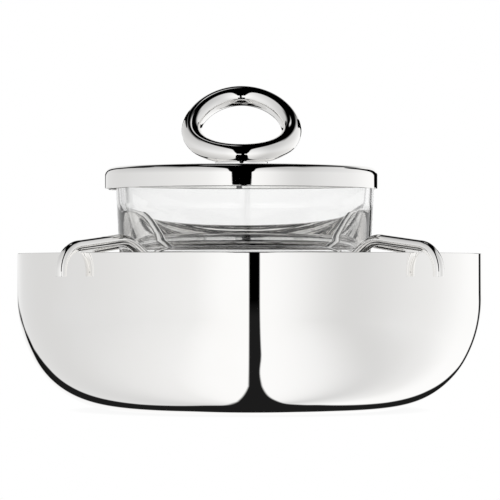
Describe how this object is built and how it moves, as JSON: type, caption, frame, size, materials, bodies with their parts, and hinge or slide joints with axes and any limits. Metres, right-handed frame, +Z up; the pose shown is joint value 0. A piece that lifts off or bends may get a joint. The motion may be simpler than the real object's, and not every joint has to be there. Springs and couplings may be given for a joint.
{
  "type": "iced caviar serving dish",
  "caption": "Serving set: a polished bowl for crushed ice, a wire holder hooked over its rim, a heavy glass dish, and a lid with a tilted ring handle.",
  "frame": {"origin": "middle of the ice bowl's flat base, on the surface it stands on", "axes": "+Z up along the bowl's axis, -Y towards the front, +X to the right seen from the front"},
  "size_m": [0.17, 0.17, 0.12],
  "materials": {
    "bowl_silver": "mirror-polished silver plate",
    "holder_silver": "polished silver plate on round wire",
    "dish_glass": "clear pressed glass, fire polished",
    "lid_silver": "mirror-polished silver plate",
    "fastener_steel": "turned stainless steel"
  },
  "bodies": {
    "bowl": {"ice_bowl": "bowl_silver"},
    "holder": {"holder_ring": "holder_silver", "holder_arm_front_left": "holder_silver", "holder_arm_front_right": "holder_silver", "holder_arm_back_left": "holder_silver", "holder_arm_back_right": "holder_silver"},
    "dish": {"glass_dish": "dish_glass"},
    "lid": {"lid_shell": "lid_silver", "handle_collar": "lid_silver", "handle_ring": "lid_silver", "handle_washer": "fastener_steel", "handle_screw": "fastener_steel"}
  },
  "joints": [
    {"name": "holder_lift", "type": "slide", "parent": "bowl", "child": "holder", "axis": [0, 0, 1], "range_m": [0, 0.06]},
    {"name": "dish_lift", "type": "slide", "parent": "holder", "child": "dish", "axis": [0, 0, 1], "range_m": [0, 0.05]},
    {"name": "lid_lift", "type": "slide", "parent": "dish", "child": "lid", "axis": [0, 0, 1], "range_m": [0, 0.04]}
  ]
}
